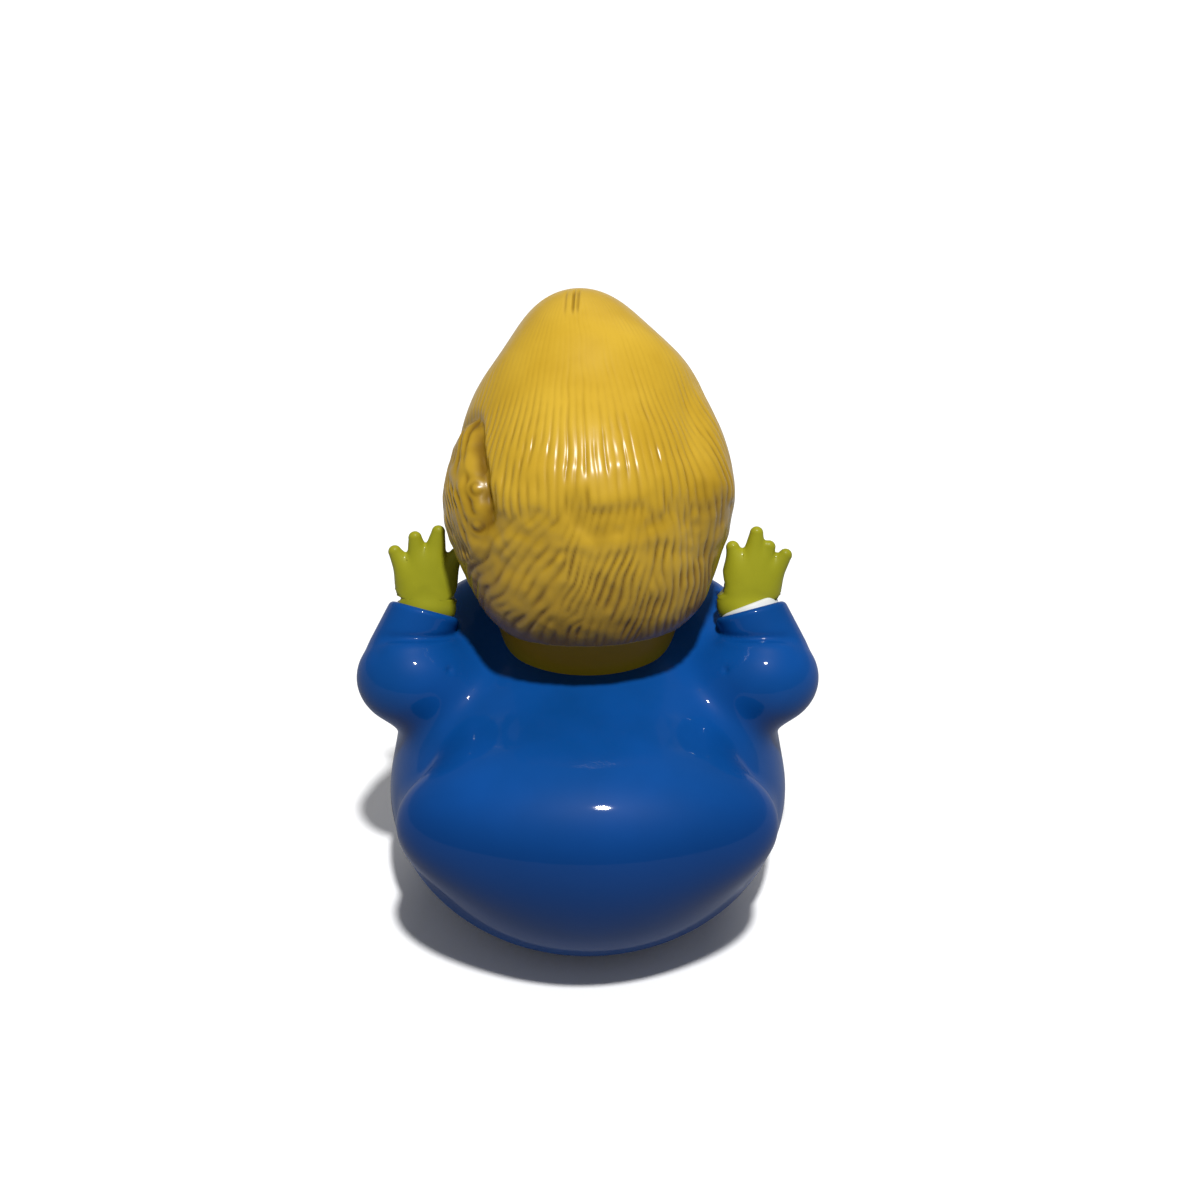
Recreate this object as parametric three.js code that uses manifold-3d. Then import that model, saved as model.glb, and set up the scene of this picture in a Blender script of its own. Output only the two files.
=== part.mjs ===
// A rubber duck in a jacket, moulded as one hollow shell of soft vinyl. It faces -Y and stands on the flat of its
// base at z = 0, with the origin on that flat, under the front half of the body. Millimetres, +Z up.
// Torso, sleeves, head and hair are skins: spheres whose points move out to the surface of a few soft forms. Hands,
// bill, eyes and lapels are joined on, and the same forms drawn in by the wall hollow the shell out.

import * as THREE from "three";
import { mergeVertices } from "three/addons/utils/BufferGeometryUtils.js";
import Module from "manifold-3d";

const wasm = await Module();
wasm.setup();

// The shell, and the vent hole through its base.
const wall = 2.2;
const ventRadius = 1.6;
const ventBehindOrigin = 12;

// The torso is an egg cut flat at the base, with a flat broad back, a bar of shoulders and a broad round tail.
const torsoHalfWidth = 36;
const torsoHalfLength = 38;
const torsoHalfHeight = 25;
const torsoBack = 4;
const baseCut = 3.5;
const shoulderHalfSpan = 18;
const shoulderForward = 14;
const shoulderDrop = 4.5;
const shoulderRadius = 11;
const backHalfWidth = 33;
const backHalfLength = 23;
const backHalfHeight = 13;
const backForward = 4;
const backDrop = 12.5;
const tailHalfWidth = 33;
const tailHalfLength = 17;
const tailHalfHeight = 15.5;
const tailBehindTorso = 23;
const tailDrop = 16;
const torsoSoftness = 7;

// Each sleeve runs from the shoulder out and back to the elbow, then forward and up to the wrist.
const armRootOut = 21;
const armRootForward = 8;
const armRootDrop = 9;
const elbowOut = 32;
const elbowBack = 2;
const elbowDrop = 2.5;
const elbowRadius = 8.2;
const forearmIn = 2.6;
const forearmForward = 5.6;
const forearmUp = 8;
const sleeveRadius = 6.3;
const sleeveSoftness = 2;
const hemDepth = 4;
const cuffInset = 1.2;
const cuffShow = 1.2;

// A hand is a flat palm with three fingers and a thumb. Each digit has its angle from upright, away from the head,
// in degrees, and its length from the middle of the palm.
const palmWidth = 12;
const palmThickness = 5;
const palmLength = 15.7;
const palmInCuff = 4.4;
const palmForward = 14;
const palmInward = 4;
const knuckleRadius = 2.5;
const fingertipRadius = 1.4;
const leftDigits = [
  { fan: 40, length: 10.4 },
  { fan: 14, length: 11.4 },
  { fan: -8, length: 12.6 },
  { fan: -34, length: 10 },
];
const rightDigits = [
  { fan: 47, length: 10.5 },
  { fan: 26, length: 10.2 },
  { fan: 10, length: 12.2 },
  { fan: -16, length: 10 },
];

// The head stands on the neck and looks a little to the duck's left.
const headRise = 27;
const headForward = 9;
const headTurn = 5;
const skullHalfWidth = 21.6;
const skullHalfDepth = 23.5;
const skullHalfHeight = 24;
const cheekHalfWidth = 20.5;
const cheekHalfDepth = 19;
const cheekHalfHeight = 16;
const cheekForward = 7;
const cheekDrop = 8;
const neckRadius = 17;
const neckBaseRadius = 16;
const headSoftness = 5;

// The hair is combed back from a raised quiff, with a lobe over each ear and a roll at the nape. The strands start
// round the tip of the quiff, which leans forward, and turn aside below the crown.
const hairThickness = 1.9;
const crestForward = 8;
const crestAside = 1;
const crestRise = 8.5;
const crestHalfWidth = 21.2;
const crestHalfDepth = 15;
const crestHalfHeight = 22.5;
const quiffForward = 16.5;
const quiffRise = 21.5;
const quiffRadius = 10.5;
const quiffSoftness = 7;
const lobeOut = 18.4;
const lobeHalfWidth = 6.4;
const lobeHalfDepth = 12;
const lobeHalfHeight = 14.5;
const lobeBack = 3;
const lobeRise = 5;
const lobeSoftness = 0.8;
const napeHalfWidth = 20;
const napeHalfDepth = 13;
const napeHalfHeight = 13;
const napeBack = 11;
const napeDrop = 8.5;
const strands = 50;
const strandDepth = 0.45;
const strandLean = 38;
const strandTurn = 0.35;
const crownEnd = 76;
const tipCrowding = 1.25;

// The hairline, seen from the side.
const foreheadHairline = 11;
const templeBehindFace = 12.5;
const sideHairline = -18;
const napeHairline = -14.5;

// The bill and the eyes.
const billHalfWidth = 11.5;
const billLength = 15;
const billThickness = 4;
const billDrop = 7;
const jawShare = 0.8;
const jawDrop = 5.5;
const eyeApart = 9;
const eyeRise = 2.5;
const eyeHalfWidth = 3.4;
const eyeHalfHeight = 4.8;
const eyeProud = 1;

// The jacket's front: an opening between two lapels, and two buttons below it.
const openingDrop = 2.5;
const openingHalfWidth = 12;
const openingLength = 19;
const lapelWidth = 7;
const lapelNotch = 3;
const lapelProud = 1.2;
const buttonRadius = 1.9;
const buttonProud = 1;
const buttonPitch = 7;
const buttonGap = 1.2;

// Facets round the skins and the smaller pieces.
const torsoFacets = 36;
const sleeveFacets = 16;
const headFacets = 24;
const billFacets = 16;
const strandRings = 20;
const roundFacets = 12;

const { degToRad, lerp, clamp } = THREE.MathUtils;
const at = (x, y, z) => new THREE.Vector3(x, y, z);

// A form gives the distance of a point from a round shape, and is negative inside it.
const egg = (centre, halfWidth, halfDepth, halfHeight) => (p) => {
  const x = p.x - centre.x;
  const y = p.y - centre.y;
  const z = p.z - centre.z;
  const share = Math.hypot(x / halfWidth, y / halfDepth, z / halfHeight);
  const slope = Math.hypot(x / halfWidth ** 2, y / halfDepth ** 2, z / halfHeight ** 2);
  return slope > 0 ? (share * (share - 1)) / slope : -Math.min(halfWidth, halfDepth, halfHeight);
};

const limb = (from, to, fromRadius, toRadius) => {
  const along = to.clone().sub(from);
  return (p) => {
    const offset = p.clone().sub(from);
    const share = clamp(offset.dot(along) / along.lengthSq(), 0, 1);
    return offset.addScaledVector(along, -share).length() - lerp(fromRadius, toRadius, share);
  };
};

const onBothSides = (form) => (p) => form(at(Math.abs(p.x), p.y, p.z));

const blend = (softness, ...forms) => (p) =>
  forms
    .map((form) => form(p))
    .reduce((a, b) => {
      const share = clamp(0.5 + (b - a) / (2 * softness), 0, 1);
      return lerp(b, a, share) - softness * share * (1 - share);
    });

// The distance from the heart of a form to its surface, in a direction, by halving a span that holds the surface.
const reach = (form, heart, direction, grown = 0) => {
  const halvings = 26;
  let inside = 0;
  let outside = 2 * (torsoHalfLength + tailBehindTorso);
  for (let step = 0; step < halvings; step += 1) {
    const middle = (inside + outside) / 2;
    const beyond = form(heart.clone().addScaledVector(direction, middle)) > grown;
    if (beyond) outside = middle;
    else inside = middle;
  }
  return inside;
};

const solid = (geometry, frame = new THREE.Matrix4()) => {
  const bare = geometry.clone().applyMatrix4(frame);
  bare.deleteAttribute("normal");
  bare.deleteAttribute("uv");
  const merged = mergeVertices(bare);
  const vertProperties = new Float32Array(merged.attributes.position.array);
  const triVerts = new Uint32Array(merged.index.array);
  return new wasm.Manifold(new wasm.Mesh({ numProp: 3, vertProperties, triVerts }));
};

const skin = (form, heart, facets, grown = 0) => {
  const sphere = new THREE.SphereGeometry(1, facets, facets / 2 + 2).rotateX(Math.PI / 2);
  const { position } = sphere.attributes;
  const point = at(0, 0, 0);
  for (let i = 0; i < position.count; i += 1) {
    point.fromBufferAttribute(position, i).normalize();
    point.multiplyScalar(reach(form, heart, point, grown)).add(heart);
    position.setXYZ(i, point.x, point.y, point.z);
  }
  return sphere;
};

const mirrored = (side) => side.transform(new THREE.Matrix4().makeScale(-1, 1, 1).toArray());
const bothSides = (side) => side.add(mirrored(side));

// The torso.
const torsoHeart = at(0, torsoBack, torsoHalfHeight - baseCut);
const torsoTop = torsoHeart.z + torsoHalfHeight;
const shoulder = at(shoulderHalfSpan, -shoulderForward, torsoTop - shoulderDrop);
const backHeart = at(0, -backForward, torsoTop - backDrop);
const tailHeart = at(0, torsoBack + tailBehindTorso, torsoTop - tailDrop);
const torsoForm = blend(
  torsoSoftness,
  egg(torsoHeart, torsoHalfWidth, torsoHalfLength, torsoHalfHeight),
  egg(backHeart, backHalfWidth, backHalfLength, backHalfHeight),
  limb(shoulder, shoulder.clone().setX(-shoulderHalfSpan), shoulderRadius, shoulderRadius),
  egg(tailHeart, tailHalfWidth, tailHalfLength, tailHalfHeight),
);
const torso = (grown) => solid(skin(torsoForm, torsoHeart, torsoFacets, grown));

// The left sleeve, its hem, and the shirt cuff that shows in it.
const elbow = at(elbowOut, elbowBack, torsoTop - elbowDrop);
const wrist = elbow.clone().add(at(-forearmIn, -forearmForward, forearmUp));
const armRoot = at(armRootOut, -armRootForward, torsoTop - armRootDrop);
const sleeveForm = blend(
  sleeveSoftness,
  limb(elbow, armRoot, elbowRadius, elbowRadius),
  limb(elbow, wrist, elbowRadius, sleeveRadius),
);
const sleeve = (grown) => solid(skin(sleeveForm, elbow, sleeveFacets, grown));
const forearm = wrist.clone().sub(elbow).normalize();
const alongForearm = new THREE.Quaternion().setFromUnitVectors(at(0, 1, 0), forearm);
const tube = (radius, start, end) => {
  const middle = wrist.clone().addScaledVector(forearm, (start + end) / 2);
  const frame = new THREE.Matrix4().compose(middle, alongForearm, at(1, 1, 1));
  return solid(new THREE.CylinderGeometry(radius, radius, end - start, roundFacets), frame);
};
const hem = tube(sleeveRadius, -hemDepth / 2, hemDepth / 2);
const cuff = tube(sleeveRadius - cuffInset, 0, hemDepth / 2 + cuffShow);

// The hands. A digit is turned: a cone with a round tip.
const hand = (digits) => {
  const frame = new THREE.Matrix4().makeRotationX(degToRad(palmForward));
  frame.setPosition(wrist.clone().addScaledVector(forearm, hemDepth / 2));
  frame.multiply(new THREE.Matrix4().makeRotationY(degToRad(-palmInward)));
  const middle = palmLength / 2 - palmInCuff;
  const palm = new THREE.SphereGeometry(0.5, roundFacets, roundFacets / 2).rotateX(Math.PI / 2);
  palm.scale(palmWidth, palmThickness, palmLength).translate(0, 0, middle);
  const digit = ({ fan, length }) => {
    const outline = new THREE.Path();
    outline.moveTo(0, 0);
    outline.lineTo(knuckleRadius, 0);
    outline.absarc(0, length - fingertipRadius, fingertipRadius, 0, Math.PI / 2);
    const turned = new THREE.LatheGeometry(outline.getPoints(3), roundFacets / 2).rotateX(Math.PI / 2);
    return solid(turned.rotateY(degToRad(fan)).translate(0, 0, middle), frame);
  };
  return digits.map(digit).reduce((whole, part) => whole.add(part), solid(palm, frame));
};

// The head, in its own frame: the heart of the skull is the zero point, and it looks along -Y.
const heart = at(0, 0, 0);
const headFrame = new THREE.Matrix4().makeRotationZ(degToRad(headTurn));
headFrame.setPosition(0, -headForward, torsoTop + headRise);
const skullForm = blend(
  headSoftness,
  egg(heart, skullHalfWidth, skullHalfDepth, skullHalfHeight),
  egg(at(0, -cheekForward, -cheekDrop), cheekHalfWidth, cheekHalfDepth, cheekHalfHeight),
  limb(at(0, 0, -skullHalfHeight / 2), at(0, 0, -headRise - neckBaseRadius / 4), neckRadius, neckBaseRadius),
);
const head = (grown) => solid(skin(skullForm, heart, headFacets, grown), headFrame);

// The forms under the hair.
const crest = at(-crestAside, -crestForward, crestRise);
const quiffTip = at(0, -quiffForward, quiffRise);
const quiffForm = blend(
  quiffSoftness,
  egg(crest, crestHalfWidth, crestHalfDepth, crestHalfHeight),
  limb(crest, quiffTip, quiffRadius, quiffRadius),
);
const crownForm = egg(
  heart,
  skullHalfWidth + hairThickness,
  skullHalfDepth + hairThickness,
  skullHalfHeight + hairThickness,
);
const nape = at(0, napeBack, -napeDrop);
const napeForm = egg(nape, napeHalfWidth, napeHalfDepth, napeHalfHeight);
const lobeForm = onBothSides(egg(at(lobeOut, lobeBack, lobeRise), lobeHalfWidth, lobeHalfDepth, lobeHalfHeight));
const combedForm = blend(headSoftness, crownForm, quiffForm, napeForm);
const hairForm = blend(lobeSoftness, combedForm, lobeForm);

// The hair as rings of ridges and grooves, from the tip of the quiff to the nape.
const strandSkin = () => {
  const columns = 2 * strands;
  const sphere = new THREE.SphereGeometry(1, columns, strandRings);
  const { position, uv } = sphere.attributes;
  const point = at(0, 0, 0);
  for (let i = 0; i < position.count; i += 1) {
    const column = Math.round(uv.getX(i) * columns);
    const fromTip = 180 * (1 - uv.getY(i)) ** tipCrowding;
    const aside = strandTurn * Math.max(0, fromTip - crownEnd);
    const turn = degToRad((360 * column) / columns - aside);
    point.set(0, 0, 1).applyAxisAngle(at(1, 0, 0), degToRad(-fromTip)).applyAxisAngle(at(0, 0, 1), turn);
    point.applyAxisAngle(at(1, 0, 0), degToRad(strandLean * (1 - fromTip / 180)));
    const fade = Math.min(1, 3 * Math.sin(degToRad(fromTip)));
    const groove = (column % 2) * strandDepth * fade;
    point.multiplyScalar(reach(hairForm, heart, point, -groove));
    position.setXYZ(i, point.x, point.y, point.z);
  }
  return sphere;
};

// What lies above the hairline, right across the head, or further in by a margin. The forehead's edge sweeps up to
// the tip of the quiff.
const aboveHairline = (margin) => {
  const far = 3 * skullHalfDepth;
  const temple = templeBehindFace - skullHalfDepth + margin;
  const forehead = foreheadHairline + margin;
  const side = sideHairline + margin;
  const outline = new THREE.Shape();
  outline.moveTo(-far, quiffTip.z + margin);
  outline.lineTo(quiffTip.y - quiffRadius, quiffTip.z + margin);
  outline.quadraticCurveTo(-skullHalfDepth, forehead, temple, forehead);
  outline.quadraticCurveTo(temple, side, nape.y / 2, side);
  outline.quadraticCurveTo(nape.y, side, nape.y + napeHalfDepth, napeHairline + margin);
  outline.lineTo(far, napeHairline + margin);
  outline.lineTo(far, far);
  outline.lineTo(-far, far);
  const slab = new THREE.ExtrudeGeometry(outline, { depth: 2 * far, bevelEnabled: false, curveSegments: 6 });
  const sideways = new THREE.Matrix4().makeBasis(at(0, 1, 0), at(0, 0, 1), at(1, 0, 0));
  return solid(slab.translate(0, 0, -far), headFrame.clone().multiply(sideways));
};
const hair = solid(strandSkin(), headFrame).intersect(aboveHairline(0));

// The bill: two mandibles, each a flat spoon that swells at its root.
const mandible = (share, drop) => {
  const root = at(0, -skullHalfDepth, -drop);
  const spoon = at(0, root.y - billLength / 3, root.z);
  const width = billHalfWidth * share;
  const length = billLength * share;
  const thickness = billThickness * share;
  const form = blend(
    thickness / 2,
    egg(spoon, width, length / 1.5, thickness),
    egg(root, width / 1.6, length / 2, 1.5 * thickness),
  );
  return solid(skin(form, spoon, billFacets), headFrame);
};

const eye = () => {
  const direction = at(eyeApart, -skullHalfDepth, eyeRise).normalize();
  const place = direction.clone().multiplyScalar(reach(skullForm, heart, direction));
  const lens = new THREE.SphereGeometry(1, roundFacets, roundFacets / 2);
  lens.scale(eyeHalfWidth, 2 * eyeProud, eyeHalfHeight);
  const outward = new THREE.Matrix4().makeRotationZ(Math.atan2(direction.x, -direction.y)).setPosition(place);
  return solid(lens, outward);
};
const eyes = bothSides(eye()).transform(headFrame.toArray());

// The jacket's front, as outlines seen from the front and raised from the chest.
const raised = (outline, proud) => {
  const slab = new THREE.ExtrudeGeometry(outline, { depth: 2 * torsoHalfLength, bevelEnabled: false });
  const forwards = new THREE.Matrix4().makeBasis(at(1, 0, 0), at(0, 0, 1), at(0, -1, 0));
  return solid(slab, forwards).intersect(torso(proud));
};
const openingTop = torsoTop - openingDrop;
const openingBottom = openingTop - openingLength;
const lapel = () => {
  const collarEnd = openingHalfWidth + lapelWidth - lapelNotch;
  const outline = new THREE.Shape();
  outline.moveTo(0, openingBottom);
  outline.lineTo(openingHalfWidth, openingTop);
  outline.lineTo(collarEnd, openingTop);
  outline.lineTo(collarEnd, openingTop - lapelWidth);
  outline.lineTo(collarEnd + lapelNotch, openingTop - lapelWidth);
  outline.quadraticCurveTo(openingHalfWidth, openingBottom + lapelWidth, 0, openingBottom - lapelNotch);
  return raised(outline, lapelProud);
};
const button = (order) => {
  const outline = new THREE.Shape();
  const height = openingBottom - lapelNotch - buttonGap - buttonRadius - order * buttonPitch;
  outline.absarc(0, height, buttonRadius, 0, 2 * Math.PI);
  return raised(outline, buttonProud);
};

// The whole: the outside, less the inside and the vent.
const below = (height) => {
  const size = 4 * (torsoHalfLength + tailBehindTorso);
  return solid(new THREE.BoxGeometry(size, size, size).translate(0, 0, height - size / 2));
};
const outside = torso(0)
  .add(bothSides(sleeve(0).add(hem).add(cuff)))
  .add(hand(leftDigits))
  .add(mirrored(hand(rightDigits)))
  .add(head(0))
  .add(hair)
  .add(mandible(1, billDrop))
  .add(mandible(jawShare, billDrop + jawDrop))
  .add(eyes)
  .add(bothSides(lapel()))
  .add(button(0))
  .add(button(1))
  .subtract(below(0));
const underHair = solid(skin(combedForm, heart, headFacets, -wall - strandDepth), headFrame);
const inside = torso(-wall)
  .add(bothSides(sleeve(-wall)))
  .add(head(-wall))
  .add(underHair.intersect(aboveHairline(wall)))
  .subtract(below(wall));
const vent = new THREE.CylinderGeometry(ventRadius, ventRadius, 4 * wall, roundFacets).rotateX(Math.PI / 2);
const shell = outside.subtract(inside).subtract(solid(vent.translate(0, ventBehindOrigin, 0)));

const { vertProperties, triVerts } = shell.getMesh();
const geometry = new THREE.BufferGeometry();
geometry.setAttribute("position", new THREE.BufferAttribute(vertProperties, 3));
geometry.setIndex(new THREE.BufferAttribute(triVerts, 1));
geometry.computeVertexNormals();

const vinyl = new THREE.MeshStandardMaterial({ color: 0x1454a4, roughness: 0.25, metalness: 0 });
const duck = new THREE.Mesh(geometry, vinyl);
duck.name = "duck";
const group = new THREE.Group();
group.add(duck);

export default group;
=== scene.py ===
import itertools
import math

import bmesh
import bpy
import numpy as np
from mathutils import Matrix, Vector


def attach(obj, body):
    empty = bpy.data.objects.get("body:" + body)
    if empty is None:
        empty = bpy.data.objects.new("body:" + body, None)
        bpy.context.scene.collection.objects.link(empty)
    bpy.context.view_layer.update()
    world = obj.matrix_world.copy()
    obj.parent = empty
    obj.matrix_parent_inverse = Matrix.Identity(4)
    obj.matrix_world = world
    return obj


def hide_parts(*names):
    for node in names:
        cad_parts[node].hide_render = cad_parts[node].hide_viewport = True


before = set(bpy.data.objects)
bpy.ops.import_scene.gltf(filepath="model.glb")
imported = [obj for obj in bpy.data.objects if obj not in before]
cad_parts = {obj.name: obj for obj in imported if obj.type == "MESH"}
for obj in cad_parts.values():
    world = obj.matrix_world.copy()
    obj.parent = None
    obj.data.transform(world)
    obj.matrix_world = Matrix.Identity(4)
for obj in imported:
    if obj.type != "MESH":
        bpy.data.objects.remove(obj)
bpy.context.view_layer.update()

# The camera
# A phone held over the duck's tail, looking down at its back along the middle of the floor.
camera_elevation = math.radians(34)
camera_distance = 0.410
camera_target = Vector((-0.0022, 0, 0.0588))
camera_lens = 70.1

camera = bpy.data.objects.new("camera", bpy.data.cameras.new("camera"))
camera.data.lens = camera_lens
camera.data.clip_start = 0.01
camera_way = Vector((0, math.cos(camera_elevation), math.sin(camera_elevation)))
camera.location = camera_target + camera_distance * camera_way
camera.rotation_euler = camera_way.to_track_quat("Z", "Y").to_euler()
bpy.context.collection.objects.link(camera)
bpy.context.scene.camera = camera

# The jacket
# The body of the duck, moulded in soft vinyl as a jacket with a broad tail and two bent sleeves, and sprayed a
# glossy blue, darkened round the tail by painted shade. It is sculpted here as one soft form: an egg for the torso,
# a bar for the shoulders, a round tail, and limbs for the sleeves, and every point of the mesh is settled on that
# form.
torso_half = (0.036, 0.038, 0.025)
torso_heart = np.array((0, 0.004, 0.0215))
torso_top = 0.0465
shoulder = np.array((0.018, -0.014, torso_top - 0.0045))
shoulder_radius = 0.011
back_half = (0.033, 0.023, 0.013)
back_heart = np.array((0, -0.004, torso_top - 0.0125))
tail_half = (0.033, 0.017, 0.0155)
tail_heart = np.array((0, 0.027, torso_top - 0.016))
torso_softness = 0.007
flank_softness = 0.0015
flank_out = (0.020, 0.031)
flank_up = (0.027, 0.036)
elbow = np.array((0.032, 0.002, torso_top - 0.0025))
elbow_radius = 0.0082
elbow_heart = elbow + (-0.0018, 0, -0.0006)
elbow_half = (0.0105, 0.0086, 0.0083)
wrist = elbow + (-0.0026, -0.0056, 0.008)
wrist_radius = 0.0063
arm_root = np.array((0.021, -0.008, torso_top - 0.009))
hem_depth = 0.004
fold_softness = 0.0006
hem_softness = 0.0009
crease_place = np.array((0.0262, 0.0075, 0.0465))
crease_step = np.array((0.0011, 0.0009, -0.0012))
crease_way = np.array((-0.9, 0.1, 0.8))
shoulder_softness = 0.0052
vent_place = (0, 0.012, 0)
vent_radius = 0.0016
vent_depth = 0.0044
jacket_voxel = 0.00054
fold_crease = 0.0004
fold_lip = 0.00035
fold_end = (0.0375, 0.0345)
skull_half = (0.0216, 0.0235, 0.024)
head_place = (0, -0.009, torso_top + 0.027)
head_turn = math.radians(5)
mirror = np.array((-1, 1, 1))


def egg(centre, half):
    """The distance from an egg, near enough, and negative inside it."""
    def form(points):
        offset = points - centre
        share = np.linalg.norm(offset / half, axis=1)
        slope = np.linalg.norm(offset / np.square(half), axis=1)
        return share * (share - 1) / np.maximum(slope, 1e-9)
    return form


def limb(start, end, start_radius, end_radius):
    """The distance from a round limb with round ends."""
    along = end - start
    def form(points):
        share = np.clip((points - start) @ along / (along @ along), 0, 1)
        radius = start_radius + (end_radius - start_radius) * share
        return np.linalg.norm(points - start - share[:, None] * along, axis=1) - radius
    return form


def both_sides(form):
    return lambda points: form(np.column_stack((np.abs(points[:, 0]), points[:, 1], points[:, 2])))


def rounded(softness, whole, near):
    """The nearer of two distances, rounded off where they meet."""
    share = np.clip(0.5 + (near - whole) / (2 * softness), 0, 1)
    return near + (whole - near) * share - softness * share * (1 - share)


def blend(softness, *forms):
    def form(points):
        whole = forms[0](points)
        for other in forms[1:]:
            whole = rounded(softness, whole, other(points))
        return whole
    return form


def ramp(values, start, end):
    """A smooth climb from 0 at the start to 1 at the end."""
    share = np.clip((values - start) / (end - start), 0, 1)
    return share * share * (3 - 2 * share)


def drift(points, size, seed):
    """Smooth random values between -1 and 1 that change over this distance."""
    lattice = np.random.default_rng(seed).uniform(-1, 1, (32, 32, 32))
    spots = points / size + 16
    low = np.floor(spots).astype(int)
    share = ramp(spots - low, 0, 1)
    value = np.zeros(len(points))
    for corner in itertools.product((0, 1), repeat=3):
        weight = np.prod(np.where(corner, share, 1 - share), axis=1)
        x, y, z = ((low + corner) % 32).T
        value += weight * lattice[x, y, z]
    return value


def points_of(shape):
    return np.array([vertex.co for vertex in shape.verts])


def move_to(shape, points):
    for vertex, point in zip(shape.verts, points):
        vertex.co = point


def uphill(form, points, step=1e-5):
    """Which way the form's distance grows fastest."""
    ways = np.eye(3) * step
    return np.stack([(form(points + way) - form(points - way)) / (2 * step) for way in ways], axis=1)


def settle(points, form, rounds=6):
    """Points moved to where the form's distance is nought."""
    for _ in range(rounds):
        way = uphill(form, points)
        points = points - way * (form(points) / np.maximum((way * way).sum(1), 0.05))[:, None]
    return points


def reach(form, heart, directions, grown=0.0):
    """How far the form's surface is from its heart, in each direction."""
    inside = np.zeros(len(directions))
    outside = np.full(len(directions), 0.12)
    for _ in range(26):
        middle = (inside + outside) / 2
        beyond = form(heart + directions * middle[:, None]) > grown
        outside = np.where(beyond, middle, outside)
        inside = np.where(beyond, inside, middle)
    return inside


def object_of(name, shape):
    mesh = bpy.data.meshes.new(name)
    shape.to_mesh(mesh)
    shape.free()
    thing = bpy.data.objects.new(name, mesh)
    bpy.context.collection.objects.link(thing)
    return thing


def remeshed(shape, voxel):
    """The same shape in an even mesh."""
    rough = object_of("rough", shape)
    bpy.context.view_layer.objects.active = rough
    rough.data.remesh_voxel_size = voxel
    bpy.ops.object.voxel_remesh()
    even = bmesh.new()
    even.from_mesh(rough.data)
    bpy.data.objects.remove(rough)
    return even


def relaxed(shape, form, rounds):
    """The shape settled on a form, with its mesh evened out."""
    for _ in range(rounds):
        move_to(shape, settle(points_of(shape), form, 3))
        bmesh.ops.smooth_vert(shape, verts=shape.verts, factor=0.5, use_axis_x=True, use_axis_y=True,
                              use_axis_z=True)
    move_to(shape, settle(points_of(shape), form, 4))
    return shape


def cut_piece(piece, cutter, operation):
    """The piece less what the cutter takes off, for good."""
    cut = piece.modifiers.new("cut", "BOOLEAN")
    cut.operation = operation
    cut.object = cutter
    bpy.context.view_layer.update()
    kept = bpy.data.meshes.new_from_object(piece.evaluated_get(bpy.context.evaluated_depsgraph_get()))
    piece.modifiers.clear()
    piece.data = kept
    bpy.data.objects.remove(cutter)


def finish_piece(name, shape, material):
    """A mesh object for the shape, smooth, in its material, riding on the duck's one body."""
    piece = object_of(name, shape)
    piece.data.shade_smooth()
    piece.data.materials.append(material)
    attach(piece, "root")
    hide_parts("duck")
    return piece


def material_of(name):
    material = bpy.data.materials.new(name)
    material.use_nodes = True
    return material, material.node_tree.nodes, material.node_tree.links


def mottle_group():
    """Slow changes of tone in a sprayed or moulded skin, and its faint ripple."""
    group = bpy.data.node_groups.new("mottle", "ShaderNodeTree")
    for name, value in (("Size", 60.0), ("Ripple", 0.2)):
        group.interface.new_socket(name, in_out="INPUT", socket_type="NodeSocketFloat").default_value = value
    for name in ("Light", "Dark"):
        group.interface.new_socket(name, in_out="INPUT", socket_type="NodeSocketColor")
    group.interface.new_socket("Color", in_out="OUTPUT", socket_type="NodeSocketColor")
    group.interface.new_socket("Height", in_out="OUTPUT", socket_type="NodeSocketFloat")
    nodes = group.nodes
    links = group.links
    given = nodes.new("NodeGroupInput")
    made = nodes.new("NodeGroupOutput")
    place = nodes.new("ShaderNodeTexCoord")
    clouds = nodes.new("ShaderNodeTexNoise")
    clouds.inputs["Detail"].default_value = 4
    links.new(place.outputs["Object"], clouds.inputs["Vector"])
    links.new(given.outputs["Size"], clouds.inputs["Scale"])
    mix = nodes.new("ShaderNodeMix")
    mix.data_type = "RGBA"
    spread = nodes.new("ShaderNodeMapRange")
    spread.inputs["From Min"].default_value = 0.3
    spread.inputs["From Max"].default_value = 0.7
    links.new(clouds.outputs["Fac"], spread.inputs["Value"])
    links.new(spread.outputs["Result"], mix.inputs["Factor"])
    links.new(given.outputs["Dark"], mix.inputs["A"])
    links.new(given.outputs["Light"], mix.inputs["B"])
    links.new(mix.outputs["Result"], made.inputs["Color"])
    ripple = nodes.new("ShaderNodeMath")
    ripple.operation = "MULTIPLY"
    links.new(clouds.outputs["Fac"], ripple.inputs[0])
    links.new(given.outputs["Ripple"], ripple.inputs[1])
    links.new(ripple.outputs["Value"], made.inputs["Height"])
    return group


mottle = mottle_group()


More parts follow.
